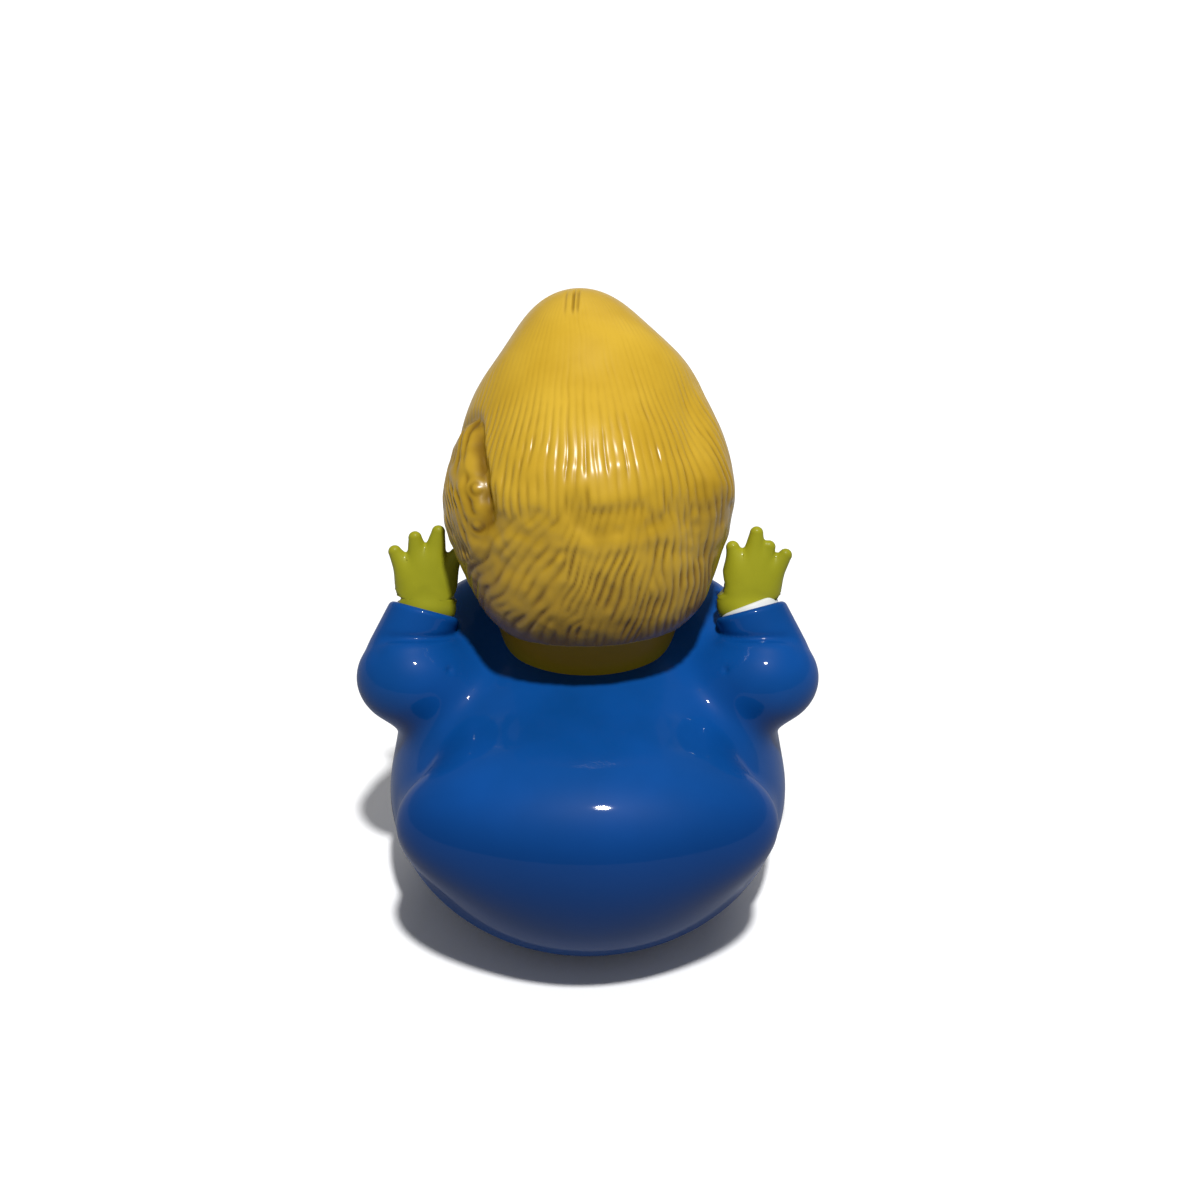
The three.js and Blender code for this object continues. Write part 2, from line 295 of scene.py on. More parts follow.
def coated(name, light, dark, size, ripple, roughness, coat=0.0, gloss=0.08, sheen=0.12, shade_and_overspray=None):
    """A glossy skin: mottled colour, a faint ripple, a clear coat, and if wanted a darker tone laid on by a per-vertex
    attribute, which holds painted shade, and on the neck also gold overspray.
    """
    material, nodes, links = material_of(name)
    skin = nodes["Principled BSDF"]
    skin.inputs["Roughness"].default_value = roughness
    skin.inputs["Specular IOR Level"].default_value = sheen
    skin.inputs["Coat Weight"].default_value = coat
    skin.inputs["Coat Roughness"].default_value = gloss
    cloud = nodes.new("ShaderNodeGroup")
    cloud.node_tree = mottle
    cloud.inputs["Size"].default_value = size
    cloud.inputs["Ripple"].default_value = ripple
    cloud.inputs["Light"].default_value = (*light, 1)
    cloud.inputs["Dark"].default_value = (*dark, 1)
    # The darker tone is painted shade, with gold overspray on the neck as well.
    if shade_and_overspray:
        hollow = nodes.new("ShaderNodeAttribute")
        hollow.attribute_name = "shade_and_overspray"
        tone = nodes.new("ShaderNodeMix")
        tone.data_type = "RGBA"
        tone.inputs["B"].default_value = (*shade_and_overspray, 1)
        links.new(hollow.outputs["Fac"], tone.inputs["Factor"])
        links.new(cloud.outputs["Color"], tone.inputs["A"])
        links.new(tone.outputs["Result"], skin.inputs["Base Color"])
    else:
        links.new(cloud.outputs["Color"], skin.inputs["Base Color"])
    relief = nodes.new("ShaderNodeBump")
    relief.inputs["Distance"].default_value = 0.0002
    links.new(cloud.outputs["Height"], relief.inputs["Height"])
    links.new(relief.outputs["Normal"], skin.inputs["Normal"])
    return material


chest_form = blend(
    torso_softness,
    egg(torso_heart, torso_half),
    egg(back_heart, back_half),
    limb(shoulder, shoulder * mirror, shoulder_radius, shoulder_radius),
)
tail_form = egg(tail_heart, tail_half)
forearm = (wrist - elbow) / np.linalg.norm(wrist - elbow)
hem_end = wrist + forearm * hem_depth / 2
upper_arm = blend(
    shoulder_softness,
    egg(elbow_heart, elbow_half),
    limb(elbow, arm_root, elbow_radius - 0.0015, elbow_radius),
)
lower_arm = limb(elbow + (0.0008, -0.0030, 0.0020), hem_end, elbow_radius - 0.0014, wrist_radius)


def torso_form(points):
    """The torso and the tail, which meet softly along the back and in a crease down each flank."""
    out = ramp(np.abs(points[:, 0]), *flank_out) * ramp(points[:, 2], *flank_up)
    softness = torso_softness + (flank_softness - torso_softness) * out
    return rounded(softness, chest_form(points), tail_form(points))


def cut_forearm(points):
    """The lower arm, cut square at its hem."""
    return -rounded(hem_softness, -lower_arm(points), (hem_end - points) @ forearm)


def body_form(side):
    return rounded(shoulder_softness, torso_form(side), upper_arm(side))


def jacket_form(points):
    side = np.column_stack((np.abs(points[:, 0]), points[:, 1], points[:, 2]))
    return rounded(fold_softness, body_form(side), cut_forearm(side))


def standing(points):
    return np.maximum(jacket_form(points), -points[:, 2])


def rough_jacket():
    shape = bmesh.new()
    balls = [(torso_heart, 0.9 * np.array(torso_half)), (tail_heart, 0.9 * np.array(tail_half))]
    for side in (1, -1):
        flip = np.array((side, 1, 1))
        for share in np.linspace(0, 1, 4):
            balls.append(((elbow + (hem_end - elbow) * share) * flip, np.full(3, 0.0068)))
            balls.append(((elbow + (arm_root - elbow) * share) * flip, np.full(3, 0.0075)))
        balls.append((shoulder * flip, np.full(3, shoulder_radius)))
        balls.append((shoulder * flip * (0.3, 1, 1), np.full(3, shoulder_radius)))
    for centre, half in balls:
        place = Matrix.Translation(centre) @ Matrix.Diagonal((*half, 1))
        bmesh.ops.create_icosphere(shape, subdivisions=4, radius=1, matrix=place)
    return remeshed(shape, 0.0012)


def elbow_folds(points):
    """The fold over each elbow, where the forearm rises out of it: a crease with a lip below."""
    side = np.column_stack((np.abs(points[:, 0]), points[:, 1], points[:, 2]))
    beyond = body_form(side) - cut_forearm(side)
    crease = np.exp(-np.square((beyond - 0.0002) / 0.0006))
    lip = np.exp(-np.square((beyond + 0.0011) / 0.0009))
    near = ramp(side[:, 0], *fold_end) * ramp(points[:, 1], elbow[1] - 0.004, elbow[1])
    return (fold_crease * crease - fold_lip * lip) * near


def armpit_creases(points):
    """Three short creases where each sleeve folds against the back."""
    side = np.column_stack((np.abs(points[:, 0]), points[:, 1], points[:, 2]))
    depth = np.zeros(len(points))
    for order in (-1, 0, 1):
        middle = crease_place + order * crease_step
        way = crease_way / np.linalg.norm(crease_way)
        depth += np.exp(-np.square(limb(middle - way * 0.0011, middle + way * 0.0011, 0, 0)(side) / 0.0005))
    return 0.0005 * depth


jacket_shape = remeshed(relaxed(rough_jacket(), standing, 6), jacket_voxel)
jacket_shape = relaxed(jacket_shape, standing, 3)
creased = points_of(jacket_shape)
creased -= uphill(standing, creased) * (armpit_creases(creased) + elbow_folds(creased))[:, None]
move_to(jacket_shape, creased)
# Painted shade: the rump is darkened where it turns down away from the lamp, most part way down it and less at the
# base.
shade_and_overspray_layer = jacket_shape.verts.layers.float.new("shade_and_overspray")
rump_shade = ramp(creased[:, 1], 0.018, 0.036) * (1 - ramp(creased[:, 2], 0.034, 0.047))
rump_shade *= 0.25 + 0.75 * ramp(creased[:, 2], 0.006, 0.024)
for vertex, share in zip(jacket_shape.verts, rump_shade):
    vertex[shade_and_overspray_layer] = 0.75 * share
# The blue vinyl's third tone is the deep blue of that painted shade.
blue_vinyl = coated("blue vinyl", (0.0032, 0.076, 0.335), (0.0015, 0.055, 0.230), 38, 0.25, 0.46, coat=0.25,
                    gloss=0.05, sheen=0.05, shade_and_overspray=(0.0008, 0.034, 0.165))
jacket = finish_piece("jacket", jacket_shape, blue_vinyl)
vent_shape = bmesh.new()
bmesh.ops.create_cone(vent_shape, cap_ends=True, segments=48, radius1=vent_radius, radius2=vent_radius,
                      depth=2 * vent_depth, matrix=Matrix.Translation(vent_place))
cut_piece(jacket, object_of("vent", vent_shape), "DIFFERENCE")

# The head
# Bare yellow-green vinyl, of one moulding with the body: a round skull and cheeks on a broad neck, which has
# caught some of the gold paint sprayed on the hair, in a dark brown that is also painted shade under the hair.
skull_heart = np.zeros(3)
cheek_half = (0.0205, 0.019, 0.016)
cheek_heart = np.array((0, -0.007, -0.008))
neck_top = np.array((0, 0, -0.012))
neck_bottom = np.array((0, 0, -0.031))
head_softness = 0.005

head_frame = Matrix.Translation(head_place) @ Matrix.Rotation(head_turn, 4, "Z")
skull_form = blend(
    head_softness,
    egg(skull_heart, skull_half),
    egg(cheek_heart, cheek_half),
    limb(neck_top, neck_bottom, 0.017, 0.016),
)
head_shape = bmesh.new()
bmesh.ops.create_icosphere(head_shape, subdivisions=6, radius=1)
directions = points_of(head_shape)
move_to(head_shape, directions * reach(skull_form, skull_heart, directions)[:, None])
skin_vinyl = coated("skin vinyl", (0.37, 0.36, 0.018), (0.30, 0.30, 0.014), 80, 0.3, 0.4, coat=0.1)
skin_with_overspray_and_shade = coated("skin vinyl with overspray and painted shade", (0.37, 0.36, 0.018), (0.30, 0.30, 0.014), 80, 0.3, 0.4, coat=0.1,
                      shade_and_overspray=(0.34, 0.18, 0.003))
# Overspray and painted shade: the back of the neck takes a dark brownish gold that fades out towards its base.
head_points = points_of(head_shape)
neck_overspray_and_shade = ramp(head_points[:, 1], -0.004, 0.006) * ramp(head_points[:, 2], -0.031, -0.022)
shade_and_overspray_layer = head_shape.verts.layers.float.new("shade_and_overspray")
for vertex, share in zip(head_shape.verts, neck_overspray_and_shade):
    vertex[shade_and_overspray_layer] = 0.9 * share
head_shape.transform(head_frame)
head = finish_piece("head", head_shape, skin_with_overspray_and_shade)

# The hair
# A thick moulded sweep of hair, painted a golden yellow: combed back in strands from a raised quiff over the
# forehead, with a lobe over each ear and a roll at the nape.
hair_thickness = 0.0019
crest = np.array((-0.001, -0.008, 0.0085))
crest_half = (0.0212, 0.015, 0.0225)
quiff_tip = np.array((0, -0.0165, 0.0215))
quiff_radius = 0.0105
quiff_softness = 0.007
nape = np.array((0, 0.011, -0.0085))
nape_half = (0.020, 0.013, 0.013)
lobe = np.array((0.0184, 0.0038, 0.005))
lobe_half = (0.0064, 0.0115, 0.0145)
lobe_stretch = 0.5
lobe_softness = (0.0009, 0.0045)
strands = 92
strand_lean = math.radians(38)
strand_depth = 0.00045
rim_slope = 0.69
rim_drop = 0.0022
rim_depth = 0.0003
lip_proud = 0.0006
lobe_crease = 0.0008
curl_pitch = 0.0020
curls = (
    (0.0197, 0.0129, 0.0153, 0.5),
    (0.0176, 0.0157, 0.0117, 2.4),
    (0.0217, 0.0133, 0.0121, 4.0),
    (0.0184, 0.0169, 0.0085, 1.2),
    (0.0212, 0.0159, 0.0059, 5.2),
)
notches = ((0.0003, 0.7), (0.0011, 1.0), (0.0025, 0.4))
hairline_forehead = 0.011
hairline_temple = -0.011
hairline_side = -0.018
hairline_nape = -0.0145

quiff_form = blend(
    quiff_softness,
    egg(crest, crest_half),
    limb(crest, quiff_tip, quiff_radius, quiff_radius),
)
crown_form = egg(skull_heart, np.array(skull_half) + hair_thickness)
combed_form = blend(head_softness, crown_form, quiff_form, egg(nape, nape_half))


def lobe_form(points):
    """An egg over each ear, lower behind than in front."""
    behind = lobe_stretch * ramp(points[:, 1], -0.006, 0.009)
    rise = points[:, 2] - lobe[2]
    height = lobe[2] + rise * (1 + behind * (rise > 0))
    return egg(lobe, lobe_half)(np.column_stack((np.abs(points[:, 0]), points[:, 1], height)))


def hair_form(points):
    """The combed hair and its lobes, which merge with it, but for the left one's top, which stands off from it."""
    sharp = ramp(points[:, 0], -0.004, 0.004) * ramp(points[:, 2], 0.001, 0.010)
    softness = lobe_softness[1] + (lobe_softness[0] - lobe_softness[1]) * sharp
    return rounded(softness, combed_form(points), lobe_form(points))


# The mesh runs in rows and columns from the tip of the quiff, and is finest where the back of the head is.
hair_shape = bmesh.new()
bmesh.ops.create_uvsphere(hair_shape, u_segments=5 * strands, v_segments=225, radius=1)
sphere = points_of(hair_shape)
row = np.arccos(np.clip(sphere[:, 2], -1, 1)) / math.pi
share_down = np.interp(row, (0, 0.30, 0.94, 1), (0, 0.27, 0.82, 1))
column = np.arctan2(-sphere[:, 0], sphere[:, 1])
turn = 0.8 * column + 0.2 * column ** 3 / math.pi ** 2
from_tip = share_down * math.pi
swing = strand_lean * (1 - share_down)
flat_y = np.sin(from_tip) * np.cos(turn)
ways = np.column_stack((
    -np.sin(from_tip) * np.sin(turn),
    flat_y * np.cos(swing) - np.cos(from_tip) * np.sin(swing),
    flat_y * np.sin(swing) + np.cos(from_tip) * np.cos(swing),
))
smooth_hair = ways * reach(hair_form, skull_heart, ways)[:, None]
across, back, up = smooth_hair.T
around = 0.024 * np.arctan2(-across, back)


def grooves(phase, sharpness=1.6):
    """Rounded ridges between narrow grooves: 0 on a ridge and 1 in a groove."""
    return (1 - np.abs(np.sin(math.pi * phase))) ** sharpness


def tuft(lean, pitch, seed):
    """Short strokes that lean this much from upright, each fading in and out."""
    across_stroke = (around - lean * up) / math.hypot(1, lean)
    bent = across_stroke / pitch + 0.5 * drift(smooth_hair, 0.005, seed)
    strength = 0.6 + 0.75 * drift(smooth_hair, np.array((0.0024, 0.0024, 0.0034)), seed + 10)
    return grooves(bent, 1.3) * np.clip(strength, 0, 1)


# Long combed strands run down to the rim of the cap, each groove as deep as it happens to be.
wander = drift(smooth_hair, np.array((0.004, 0.004, 0.014)), 1)
patches = drift(smooth_hair, np.array((0.0018, 0.0018, 0.014)), 2)
phase = turn * strands / (2 * math.pi) + 0.22 * wander
own_depth = np.random.default_rng(20).uniform(0.3, 1.1, strands)[np.round(phase).astype(int) % strands]
comb = grooves(phase) * own_depth * np.clip(0.75 + 0.7 * patches, 0.1, 1)
comb *= 0.12 + 0.88 * np.maximum(ramp(from_tip, 0.5, 1.2), 0.7 * ramp(-back, 0.016, 0.022))
comb *= ramp(from_tip, 0.04, 0.35)
for place, depth in notches:
    along = ramp(back, -0.0185, -0.0165) * (1 - ramp(back, -0.0120, -0.0085))
    comb += depth * np.exp(-np.square((across - place - 0.12 * (back + 0.0145)) / 0.00022)) * along

# Under the rim there is a hollow, a lumpy band, and short strokes that slant one way on the left, stand nearly
# upright on the right and lean between.
ragged = 0.004 * drift(smooth_hair, 0.004, 3)
leftward = 1 - ramp(around + ragged, -0.007, -0.004)
rightward = ramp(around + ragged, 0.006, 0.009)
stroke = 0.85 * tuft(0.62, 0.0020, 4) * leftward
stroke += tuft(0.3, 0.0014, 5) * (1 - leftward) * (1 - rightward)
stroke += tuft(0.06, 0.0016, 6) * rightward
at_back = ramp(back, 0.004, 0.012)
over_rim = up - (rim_slope * back - rim_drop) + 0.0026 * drift(smooth_hair, 0.0035, 7)
capped = 1 - at_back * (1 - ramp(over_rim, -0.0026, 0.0014))
hollow = np.exp(-np.square((over_rim + 0.0024) / 0.0040)) * at_back
lip = np.exp(-np.square((over_rim - 0.0030) / 0.0052)) * at_back
band = np.exp(-np.square((over_rim + 0.0050) / 0.0034)) * at_back
under_band = np.exp(-np.square((over_rim + 0.0105) / 0.0026)) * at_back
stroke *= 1 - 0.7 * band
nape_edge = at_back * (1 - ramp(up, -0.0155, -0.0105))
stroke *= 1 - 0.75 * nape_edge

# The left lobe's strands sweep round it, with small curls along its crease. The right one is combed like the rest.
into_lobe = combed_form(smooth_hair) - lobe_form(smooth_hair)
on_lobe = ramp(into_lobe, -0.0004, 0.0005) * ramp(up, -0.009, -0.001) * ramp(across, -0.002, 0.002)
crease = np.exp(-np.square(into_lobe / 0.0010)) * np.where(across > 0, 1, 0.1) * ramp(up, 0.001, 0.009)
sweep_centre = (-0.010, -0.014)
round_lobe = np.hypot(back - sweep_centre[0], up - sweep_centre[1]) / 0.0014 + 0.7 * drift(smooth_hair, 0.005, 9)
curl = grooves(round_lobe, 1.3) * np.clip(0.6 + 0.8 * drift(smooth_hair, 0.0026, 19), 0, 1)
for *near, start in curls:
    way = np.array([near]) / np.linalg.norm(near)
    centre = (way * reach(hair_form, skull_heart, way)[:, None])[0]
    from_centre = np.linalg.norm(smooth_hair - centre, axis=1)
    facing = np.arctan2(up - centre[2], back - centre[1]) - start
    arc = 0.55 + 0.45 * np.cos(facing)
    share = 1 - ramp(from_centre, 0.0014, 0.0024)
    curl += share * (arc * grooves(from_centre / curl_pitch + 0.5, 1.1) - curl)
lines = (capped * comb + 1.1 * (1 - capped) * stroke) * (1 - on_lobe) + curl * on_lobe
rough_part = np.maximum((1 - capped) * (0.5 + 0.5 * band), on_lobe)
lumps = drift(smooth_hair, 0.0032, 12) + 0.6 * drift(smooth_hair, 0.0017, 13)
drawn_in = strand_depth * lines + lobe_crease * crease + 0.00028 * lumps * rough_part
drawn_in += (rim_depth * hollow - lip_proud * lip + 0.00025 * under_band) * (1 - on_lobe)
move_to(hair_shape, smooth_hair - ways * drawn_in[:, None])

# Painted shade: the paint is darkened in the grooves, creases, hollows and dents, towards the nape and its edge,
# over the left lobe and low on both sides, and is left light on the crown, where the lamp falls.
shade = (0.7 + 0.2 * (1 - capped)) * lines + 0.6 * (1 - ramp(up, -0.016, 0.007)) + 0.5 * crease + 0.12 * hollow
shade += 0.25 * np.clip(lumps, 0, 1) * rough_part + 0.2 * on_lobe + 0.4 * nape_edge
shade += 0.32 * ramp(np.abs(across), 0.013, 0.021) * (1 - ramp(up, 0.008, 0.019)) * (1 - on_lobe)
shade_and_overspray_layer = hair_shape.verts.layers.float.new("shade_and_overspray")
for vertex, depth in zip(hair_shape.verts, np.clip(shade, 0, 1)):
    vertex[shade_and_overspray_layer] = depth
# The gold paint's third tone, a dark brown, is that painted shade.
gold_paint = coated("gold paint", (0.68, 0.43, 0.034), (0.58, 0.35, 0.020), 90, 0.25, 0.40, coat=0.5, gloss=0.25,
                    shade_and_overspray=(0.20, 0.105, 0.003))
hair_shape.transform(head_frame)
hair = finish_piece("hair", hair_shape, gold_paint)


def curve(start, middle, end):
    """Points along a curve that leaves its start towards the middle and comes to its end from there."""
    share = np.linspace(0, 1, 13)[:, None]
    return (1 - share) ** 2 * np.array(start) + 2 * share * (1 - share) * np.array(middle) + share ** 2 * np.array(end)


def above_hairline():
    """A block over the hairline, right across the head. The forehead's edge sweeps up to the tip of the quiff."""
    quiff_end = (quiff_tip[1] - quiff_radius, quiff_tip[2])
    temple = (hairline_temple, hairline_forehead)
    ear = (nape[1] / 2, hairline_side)
    nape_end = (nape[1] + nape_half[1], hairline_nape)
    side = [(-0.07, quiff_tip[2])]
    side.extend(curve(quiff_end, (-skull_half[1], hairline_forehead), temple))
    side.extend(curve(temple, (hairline_temple, hairline_side), ear)[1:])
    side.extend(curve(ear, (nape[1], hairline_side), nape_end)[1:])
    side.extend([(0.07, hairline_nape), (0.07, 0.07), (-0.07, 0.07)])
    shape = bmesh.new()
    edge = [shape.verts.new((-0.05, y, z)) for y, z in side]
    face = shape.faces.new(edge)
    grown = bmesh.ops.extrude_face_region(shape, geom=[face])
    moved = [item for item in grown["geom"] if isinstance(item, bmesh.types.BMVert)]
    bmesh.ops.translate(shape, verts=moved, vec=(0.1, 0, 0))
    bmesh.ops.recalc_face_normals(shape, faces=shape.faces)
    shape.transform(head_frame)
    return object_of("hairline", shape)


cut_piece(hair, above_hairline(), "INTERSECT")

# The hands
# Raised bare hands of yellow-green vinyl, each a thick flat palm with three stubby fingers and a thumb, set in the
# white cuff of a shirt.
palm_half = np.array((0.0055, 0.0025, 0.00785))
palm_in_cuff = 0.0044
palm_lean = Matrix.Rotation(math.radians(14), 4, "X") @ Matrix.Rotation(math.radians(-4), 4, "Y")
left_digits = ((40, 0.0104), (14, 0.0114), (-8, 0.0126), (-34, 0.010))
right_digits = ((47, 0.0105), (26, 0.0102), (10, 0.0122), (-16, 0.010))
root_radius = 0.0030
tip_radius = 0.0012
web_softness = 0.0009
heel_softness = 0.0022
cuff_radius = 0.0053
cuff_length = 0.0032
hand_frame = Matrix.Translation(hem_end) @ palm_lean


def hand(name, digits, side, heel, heel_half):
    middle = np.array((0, 0, palm_half[2] - palm_in_cuff))
    root = np.array((0, 0, 0.0015))
    tips = []
    for fan, length in digits:
        way = np.array((math.sin(math.radians(fan)), 0, math.cos(math.radians(fan))))
        tips.append(middle + way * (length - tip_radius))
    fingers = [limb(root + (tip - root) * 0.35, tip, root_radius, tip_radius) for tip in tips]
    webbed = blend(web_softness, *fingers)
    form = blend(heel_softness, egg(middle - (0, 0, 0.001), palm_half), egg(np.array(heel), heel_half),
                 lambda points: webbed(points * (1, 1.2, 1)))
    shape = bmesh.new()
    for place in (middle, np.array(heel)):
        bmesh.ops.create_icosphere(shape, subdivisions=3, radius=0.0025, matrix=Matrix.Translation(place))
    for tip in tips:
        for share in np.linspace(0, 1, 12):
            place = Matrix.Translation(root + (tip - root) * share)
            bmesh.ops.create_icosphere(shape, subdivisions=3, radius=0.0014, matrix=place)
    shape = relaxed(remeshed(shape, 0.0003), form, 3)
    shape.transform(hand_frame)
    if side < 0:
        shape.transform(Matrix.Diagonal((-1, 1, 1, 1)))
        bmesh.ops.reverse_faces(shape, faces=shape.faces)
    return finish_piece(name, shape, skin_vinyl)


hand("hand_left", left_digits, 1, (-0.0002, 0.0002, 0.0010), (0.0050, 0.0037, 0.0032))
hand("hand_right", right_digits, -1, (-0.0012, 0.0003, 0.0010), (0.0040, 0.0036, 0.0032))

# The cuffs
# White painted shirt cuffs that show as a narrow band between the hem of each sleeve and the hand.
white_paint = coated("white paint", (0.8, 0.82, 0.8), (0.72, 0.75, 0.73), 120, 0.1, 0.35)
for name, side, show, lean in (("cuff_left", 1, 0.0003, (-12, 0)), ("cuff_right", -1, 0.0009, (0, -6))):
    shape = bmesh.new()
    bmesh.ops.create_cone(shape, cap_ends=True, segments=64, radius1=cuff_radius, radius2=cuff_radius,
                          depth=cuff_length)
    bmesh.ops.bevel(shape, geom=[edge for edge in shape.edges if len(edge.link_faces) == 2
                                 and edge.calc_face_angle() > 1], offset=0.0005, segments=3, profile=0.5,
                    affect="EDGES", material=-1)
    shape.transform(Matrix.Translation((0, 0, show - cuff_length / 2)))
    shape.transform(Matrix.Rotation(math.radians(lean[0]), 4, "X") @ Matrix.Rotation(math.radians(lean[1]), 4, "Y"))
    turn_to = Vector(forearm).rotation_difference(Vector((0, 0, 1))).inverted().to_matrix().to_4x4()
    shape.transform(Matrix.Translation(hem_end) @ turn_to)
    if side < 0:
        shape.transform(Matrix.Diagonal((-1, 1, 1, 1)))
        bmesh.ops.reverse_faces(shape, faces=shape.faces)
    finish_piece(name, shape, white_paint)

# The bill
# Two flat round-ended spoons that swell at the root, painted a glossy orange.
bill_half_width = 0.0115
bill_length = 0.015
bill_thickness = 0.004
bill_drop = 0.007
jaw_share = 0.8
jaw_drop = 0.0055
orange_paint = coated("orange paint", (0.85, 0.22, 0.015), (0.75, 0.17, 0.01), 120, 0.15, 0.28, coat=0.3)
for name, share, drop in (("bill_upper", 1, bill_drop), ("bill_lower", jaw_share, bill_drop + jaw_drop)):
    root = np.array((0, -skull_half[1], -drop))
    spoon = root + (0, -bill_length / 3, 0)
    form = blend(
        bill_thickness * share / 2,
        egg(spoon, share * np.array((bill_half_width, bill_length / 1.5, bill_thickness))),
        egg(root, share * np.array((bill_half_width / 1.6, bill_length / 2, 1.5 * bill_thickness))),
    )
    shape = bmesh.new()
    bmesh.ops.create_icosphere(shape, subdivisions=5, radius=1)
    directions = points_of(shape)
    move_to(shape, spoon + directions * reach(form, spoon, directions)[:, None])
    shape.transform(head_frame)
    finish_piece(name, shape, orange_paint)

# The eyes
# Plain oval eyes, painted white with a round black pupil, slightly proud of the face.
eye_way = Vector((0.009, -0.0235, 0.0025)).normalized()
eye_half = (0.0034, 0.002, 0.0048)
eye_place = Vector(eye_way) * float(reach(skull_form, skull_heart, np.array([eye_way]))[0])
black_paint = coated("black paint", (0.012, 0.012, 0.014), (0.008, 0.008, 0.009), 120, 0.1, 0.2, coat=0.4)
for name, side in (("left", 1), ("right", -1)):
    outward = Matrix.Translation((eye_place.x * side, eye_place.y, eye_place.z))
    outward = outward @ Matrix.Rotation(side * math.atan2(eye_way.x, -eye_way.y), 4, "Z")
    shape = bmesh.new()
    bmesh.ops.create_uvsphere(shape, u_segments=48, v_segments=32, radius=1)
    shape.transform(head_frame @ outward @ Matrix.Diagonal((*eye_half, 1)))
    finish_piece("eye_" + name, shape, white_paint)
    shape = bmesh.new()
    bmesh.ops.create_uvsphere(shape, u_segments=48, v_segments=32, radius=1)
    pupil = Matrix.Translation((0, -0.0007, 0)) @ Matrix.Diagonal((0.0018, 0.0015, 0.0026, 1))
    shape.transform(head_frame @ outward @ pupil)
    finish_piece("pupil_" + name, shape, black_paint)

# The jacket's front
# Raised lapels either side of an opening with a white shirt, and two buttons below, all moulded with the chest.
opening_top = torso_top - 0.0025
opening_bottom = opening_top - 0.019
opening_half_width = 0.012
lapel_width = 0.007
lapel_notch = 0.003
lapel_proud = 0.0012
rim_round = 0.0008
button_radius = 0.0019
button_gap = 0.0012
button_pitch = 0.007


def on_chest(across, height, proud):
    """Points of the chest at these places, seen from the front, and a little proud of it."""
    start = np.column_stack((across, np.full(len(across), torso_heart[1]), height))
    back = np.zeros(len(across))
    front = np.full(len(across), 0.06)
    for _ in range(26):
        middle = (back + front) / 2
        outside = torso_form(start - middle[:, None] * (0, 1, 0)) > proud
        front = np.where(outside, middle, front)
        back = np.where(outside, back, middle)
    return start - back[:, None] * (0, 1, 0)


def chest_patch(name, inner, outer, low, high, proud, material, side=1):
    """A raised patch of the chest between two edges, given as the width at each height, with a rounded rim."""
    shape = bmesh.new()
    bmesh.ops.create_grid(shape, x_segments=40, y_segments=110, size=0.5)
    grid = ramp(points_of(shape)[:, :2] + 0.5, 0, 1)
    height = low + (high - low) * grid[:, 1]
    across = inner(height) + (outer(height) - inner(height)) * grid[:, 0]
    rim_height = np.linspace(low, high, 160)
    rim = [(inner(rim_height), rim_height), (outer(rim_height), rim_height)]
    for end in (low, high):
        level = np.full(60, end)
        rim.append((np.linspace(inner(level[:1])[0], outer(level[:1])[0], 60), level))
    rim_across, rim_up = np.hstack(rim)
    to_rim = np.hypot(across[:, None] - rim_across, height[:, None] - rim_up).min(1)
    share = np.clip(to_rim / rim_round, 0, 1)
    rise = proud * np.sqrt(share * (2 - share))
    places = on_chest(across, height, 0)
    lifted = on_chest(across, height, proud)
    sunk = 0.0003 * (share == 0)
    move_to(shape, places + (lifted - places) * (rise / proud)[:, None] + sunk[:, None] * (0, 1, 0))
    if side < 0:
        shape.transform(Matrix.Diagonal((-1, 1, 1, 1)))
    bmesh.ops.recalc_face_normals(shape, faces=shape.faces)
    return finish_piece(name, shape, material)


def opening_edge(height):
    return opening_half_width * np.clip((height - opening_bottom) / (opening_top - opening_bottom), 0, 1)


def lapel_edge(height):
    """The outer edge of a lapel: a collar, a notch below it, and a sweep down to the first button."""
    collar_end = opening_half_width + lapel_width - lapel_notch
    notch_height = opening_top - lapel_width
    sweep = curve((0, opening_bottom - lapel_notch), (opening_half_width, opening_bottom + lapel_width),
                  (opening_half_width + lapel_width, notch_height))
    return np.where(height > notch_height, collar_end, np.interp(height, sweep[:, 1], sweep[:, 0]))


chest_patch("shirt", lambda height: -opening_edge(height), opening_edge, opening_bottom, opening_top,
            0.0003, white_paint)
for name, side in (("lapel_left", 1), ("lapel_right", -1)):
    chest_patch(name, opening_edge, lapel_edge, opening_bottom - lapel_notch + 0.0001, opening_top, lapel_proud,
                blue_vinyl, side)
for order in range(2):
    shape = bmesh.new()
    bmesh.ops.create_uvsphere(shape, u_segments=32, v_segments=16, radius=1)
    height = opening_bottom - lapel_notch - button_gap - button_radius - order * button_pitch
    place = on_chest(np.zeros(1), np.array([height]), 0)[0]
    shape.transform(Matrix.Translation(place) @ Matrix.Diagonal((button_radius, 0.001, button_radius, 1)))
    finish_piece(f"button_{order + 1}", shape, blue_vinyl)

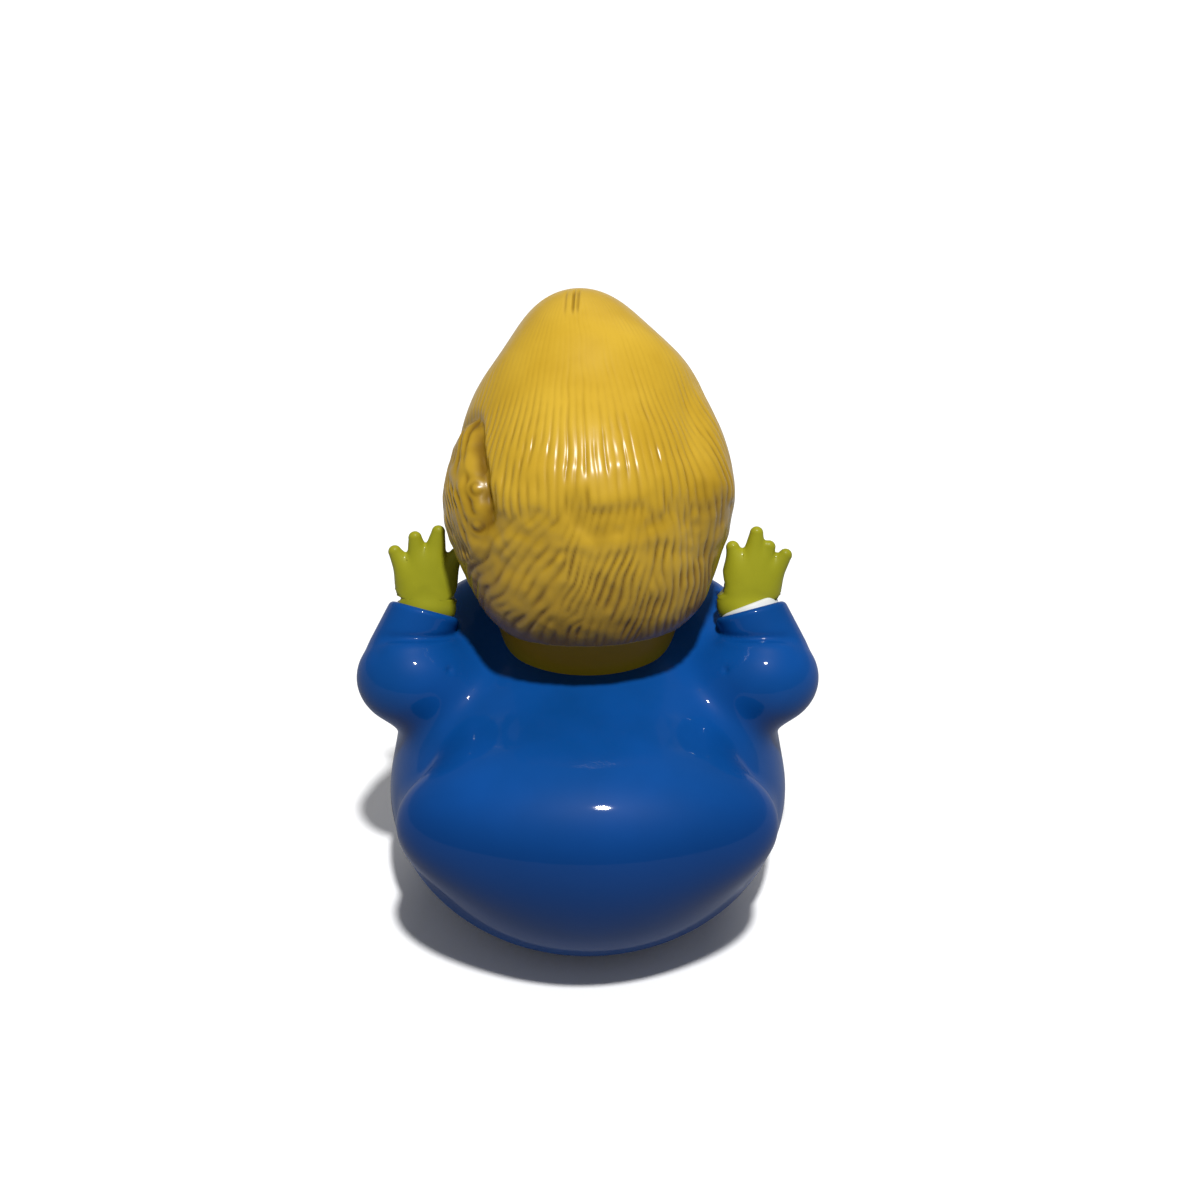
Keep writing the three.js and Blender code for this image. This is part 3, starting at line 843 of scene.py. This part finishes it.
# The floor and the light
# A plain white floor, one lamp high over the tail, and the soft light of a window in front, in a dim room.
floor_shape = bmesh.new()
bmesh.ops.create_grid(floor_shape, x_segments=1, y_segments=1, size=3)
floor_mesh = bpy.data.meshes.new("floor")
floor_shape.to_mesh(floor_mesh)
floor_shape.free()
floor = bpy.data.objects.new("floor", floor_mesh)
bpy.context.collection.objects.link(floor)
floor_white, floor_nodes, floor_links = material_of("floor white")
floor_nodes["Principled BSDF"].inputs["Roughness"].default_value = 0.7
floor_path = floor_nodes.new("ShaderNodeLightPath")
floor_tone = floor_nodes.new("ShaderNodeMix")
floor_tone.data_type = "RGBA"
floor_tone.inputs["A"].default_value = (0.24, 0.24, 0.24, 1)
floor_tone.inputs["B"].default_value = (1, 1, 1, 1)
floor_seen = floor_nodes.new("ShaderNodeMath")
floor_seen.operation = "ADD"
floor_seen.use_clamp = True
floor_links.new(floor_path.outputs["Is Camera Ray"], floor_seen.inputs[0])
floor_gloss = floor_nodes.new("ShaderNodeMath")
floor_gloss.operation = "MULTIPLY"
floor_gloss.inputs[1].default_value = 0.35
floor_links.new(floor_path.outputs["Is Glossy Ray"], floor_gloss.inputs[0])
floor_links.new(floor_gloss.outputs["Value"], floor_seen.inputs[1])
floor_links.new(floor_seen.outputs["Value"], floor_tone.inputs["Factor"])
floor_links.new(floor_tone.outputs["Result"], floor_nodes["Principled BSDF"].inputs["Base Color"])
floor_mesh.materials.append(floor_white)


for name, energy, size, elevation, aside in (("ceiling lamp", 3.15, 4, 68, 12), ("window", 0.55, 40, 38, 165)):
    light = bpy.data.lights.new(name, "SUN")
    light.energy = energy
    light.angle = math.radians(size)
    lamp = bpy.data.objects.new(name, light)
    lamp.visible_glossy = size < 10
    turned = math.radians(aside)
    lamp_way = Vector((-math.sin(turned), math.cos(turned), math.tan(math.radians(elevation))))
    lamp.rotation_euler = lamp_way.to_track_quat("Z", "Y").to_euler()
    bpy.context.collection.objects.link(lamp)

world = bpy.data.worlds.new("world")
world.use_nodes = True
bpy.context.scene.world = world
sky = world.node_tree.nodes["Background"]
sky.inputs["Color"].default_value = (1, 1, 1, 1)
path = world.node_tree.nodes.new("ShaderNodeLightPath")
strength = world.node_tree.nodes.new("ShaderNodeMix")
strength.inputs["A"].default_value = 0.19
strength.inputs["B"].default_value = 1
world.node_tree.links.new(path.outputs["Is Camera Ray"], strength.inputs["Factor"])
world.node_tree.links.new(strength.outputs["Result"], sky.inputs["Strength"])

bpy.context.scene.view_settings.view_transform = "Standard"
